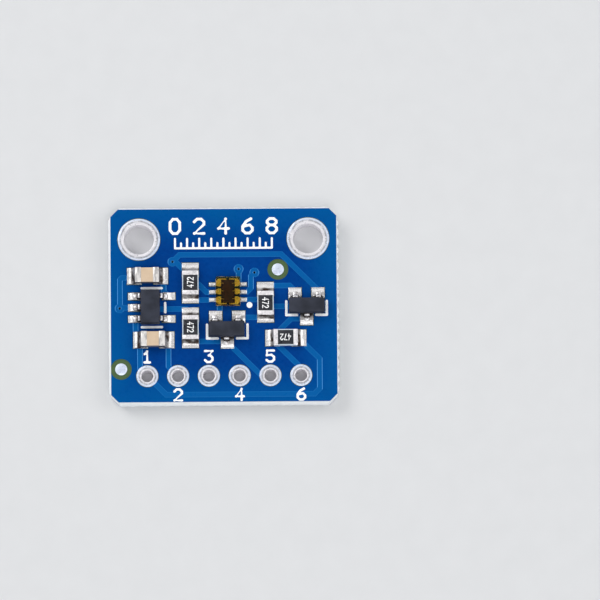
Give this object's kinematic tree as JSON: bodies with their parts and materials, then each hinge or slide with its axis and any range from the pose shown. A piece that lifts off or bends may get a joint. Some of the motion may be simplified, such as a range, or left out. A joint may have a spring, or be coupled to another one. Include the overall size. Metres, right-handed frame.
{
  "type": "light sensor module",
  "caption": "Small blue circuit board with a clear light sensor, a regulator, transistors, chip resistors and capacitors, plated mounting holes and a row of header holes.",
  "frame": {"origin": "middle of the board's underside", "axes": "+X along the board, +Y towards the two mounting holes, +Z out of the component side"},
  "size_m": [0.019, 0.0166, 0.0028],
  "materials": {
    "laminate": "cut glass cloth laminate, broken along its score",
    "mask": "glossy blue solder mask",
    "tinned_copper": "bright tin over copper",
    "white_ink": "printed white ink",
    "alumina": "sawn ceramic",
    "dark_glaze": "dark glass glaze",
    "chip_terminals": "plated tin, slightly grainy",
    "capacitor_ceramic": "fired ceramic, satin",
    "moulding": "filled epoxy, fine matt grain",
    "plated_leads": "plated tin",
    "solder": "bright reflowed solder",
    "clear_resin": "clear polished resin",
    "gilt_frame": "gold plate",
    "die": "dark polished silicon"
  },
  "bodies": {
    "root": {"board_laminate": "laminate", "solder_mask_top": "mask", "solder_mask_bottom": "mask", "copper_layer": "tinned_copper", "fiducial_upper": "tinned_copper", "fiducial_lower": "tinned_copper", "mounting_plating_left": "tinned_copper", "mounting_plating_right": "tinned_copper", "header_plating_1": "tinned_copper", "header_plating_2": "tinned_copper", "header_plating_3": "tinned_copper", "header_plating_4": "tinned_copper", "header_plating_5": "tinned_copper", "header_plating_6": "tinned_copper", "via_1": "tinned_copper", "via_2": "tinned_copper", "via_3": "tinned_copper", "via_4": "tinned_copper", "printed_outlines": "white_ink", "resistor_1_body": "alumina", "resistor_2_body": "alumina", "resistor_3_body": "alumina", "resistor_4_body": "alumina", "resistor_1_coat": "dark_glaze", "resistor_2_coat": "dark_glaze", "resistor_3_coat": "dark_glaze", "resistor_4_coat": "dark_glaze", "resistor_1_terminals": "chip_terminals", "resistor_2_terminals": "chip_terminals", "resistor_3_terminals": "chip_terminals", "resistor_4_terminals": "chip_terminals", "capacitor_1_terminals": "chip_terminals", "capacitor_2_terminals": "chip_terminals", "capacitor_1_body": "capacitor_ceramic", "capacitor_2_body": "capacitor_ceramic", "regulator_body": "moulding", "transistor_1_body": "moulding", "transistor_2_body": "moulding", "regulator_leads": "plated_leads", "transistor_1_leads": "plated_leads", "transistor_2_leads": "plated_leads", "resistor_1_solder": "solder", "resistor_2_solder": "solder", "resistor_3_solder": "solder", "resistor_4_solder": "solder", "capacitor_1_solder": "solder", "capacitor_2_solder": "solder", "regulator_solder": "solder", "transistor_1_solder": "solder", "transistor_2_solder": "solder", "sensor_solder": "solder", "sensor_housing": "clear_resin", "sensor_lead_frame": "gilt_frame", "sensor_bond_wires": "gilt_frame", "sensor_die": "die"}
  },
  "joints": []
}
